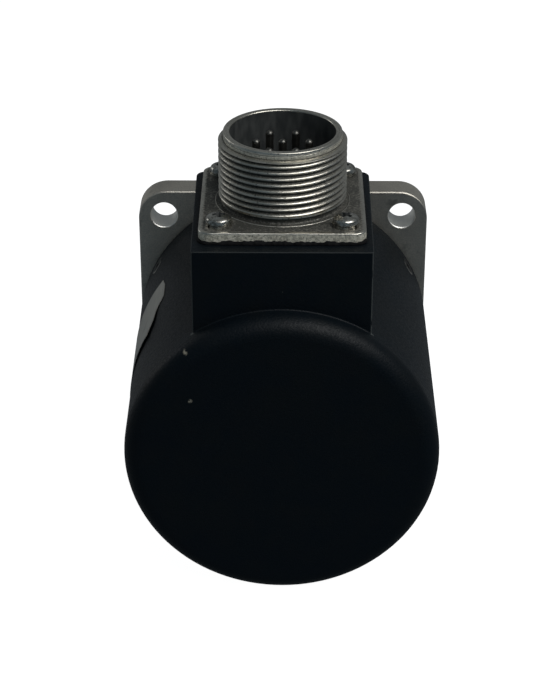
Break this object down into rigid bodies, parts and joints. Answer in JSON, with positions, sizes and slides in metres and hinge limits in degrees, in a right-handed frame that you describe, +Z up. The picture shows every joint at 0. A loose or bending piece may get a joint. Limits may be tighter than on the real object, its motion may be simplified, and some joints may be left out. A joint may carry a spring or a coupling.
{
  "type": "rotary encoder",
  "caption": "Industrial shaft encoder: square mounting flange with pilot, flatted shaft, black cast cover and a threaded multi-pin receptacle on top",
  "frame": {"origin": "on the shaft's axis, in the plane of the flange's mounting face, where the pilot starts", "axes": "+Y along the shaft, out of the mounting face; +Z up, through the receptacle; X across"},
  "size_m": [0.0641, 0.0918, 0.0932],
  "materials": {
    "flange_aluminium": "bead-blasted, clear anodised",
    "cover_black": "matte black, fine cast texture",
    "shell_plating": "dull zinc-nickel plating, worn bright on the crests",
    "screw_plating": "plated steel, lightly worn",
    "cover_screw_black": "black oxide",
    "insert_polymer": "moulded, matte",
    "contact_metal": "dull plated contacts",
    "gasket_rubber": "matte",
    "label_film": "satin metallised film",
    "shaft_steel": "ground stainless steel",
    "bearing_steel": "polished",
    "spring_steel": "tempered, oiled",
    "cage_polymer": "moulded polyamide",
    "seal_rubber": "matte",
    "hub_aluminium": "turned",
    "disc_glass": "clear, with a printed track",
    "brass_turned": "turned",
    "board_laminate": "solder-masked laminate",
    "chip_plastic": "moulded",
    "capacitor_sleeve": "shrunk sleeve",
    "led_plastic": "tinted, clear",
    "wire_insulation": "extruded"
  },
  "bodies": {
    "housing": {"mounting_flange": "flange_aluminium", "cover": "cover_black", "cover_o_ring": "seal_rubber", "cover_screws": "cover_screw_black", "nameplate": "label_film", "connector_shell": "shell_plating", "connector_insert": "insert_polymer", "connector_pins": "contact_metal", "connector_gasket": "gasket_rubber", "connector_screws": "screw_plating", "connector_lock_washers": "screw_plating", "seal_case": "spring_steel", "seal_lip": "seal_rubber", "seal_spring": "spring_steel", "front_bearing_outer_race": "bearing_steel", "front_bearing_shields": "bearing_steel", "rear_bearing_outer_race": "bearing_steel", "rear_bearing_shields": "bearing_steel", "preload_spring": "spring_steel", "bearing_retaining_ring": "spring_steel", "led_holder": "chip_plastic", "led_holder_screws": "screw_plating", "led_emitter": "led_plastic", "led_leads": "contact_metal", "photo_sensor": "chip_plastic", "mask_plate": "spring_steel", "mask_screws": "screw_plating", "signal_board": "board_laminate", "driver_board": "board_laminate", "board_standoffs": "brass_turned", "board_spacers": "hub_aluminium", "board_screws": "screw_plating", "signal_chips": "chip_plastic", "driver_chips": "chip_plastic", "capacitors": "capacitor_sleeve", "board_link": "chip_plastic", "wire_header": "chip_plastic", "wire_harness": "wire_insulation", "solder_sleeves": "seal_rubber"},
    "rotor": {"shaft": "shaft_steel", "front_bearing_inner_race": "bearing_steel", "rear_bearing_inner_race": "bearing_steel", "disc_hub": "hub_aluminium", "hub_set_screws": "spring_steel", "code_disc": "disc_glass", "disc_washer": "spring_steel", "disc_clamp_nut": "brass_turned"},
    "front_ball_set": {"front_bearing_balls": "bearing_steel", "front_bearing_cage": "cage_polymer"},
    "rear_ball_set": {"rear_bearing_balls": "bearing_steel", "rear_bearing_cage": "cage_polymer"}
  },
  "joints": [
    {"name": "shaft_spin", "type": "hinge", "parent": "housing", "child": "rotor", "pos_m": [0, 0, 0], "axis": [0, 1, 0], "continuous": true},
    {"name": "front_balls_roll", "type": "hinge", "parent": "housing", "child": "front_ball_set", "pos_m": [0, -0.00587, 0], "axis": [0, 1, 0], "continuous": true},
    {"name": "rear_balls_roll", "type": "hinge", "parent": "housing", "child": "rear_ball_set", "pos_m": [0, -0.02157, 0], "axis": [0, 1, 0], "continuous": true}
  ],
  "couplings": [
    {"joint": "front_balls_roll", "follows": "shaft_spin", "ratio": 0.375},
    {"joint": "rear_balls_roll", "follows": "shaft_spin", "ratio": 0.375}
  ]
}
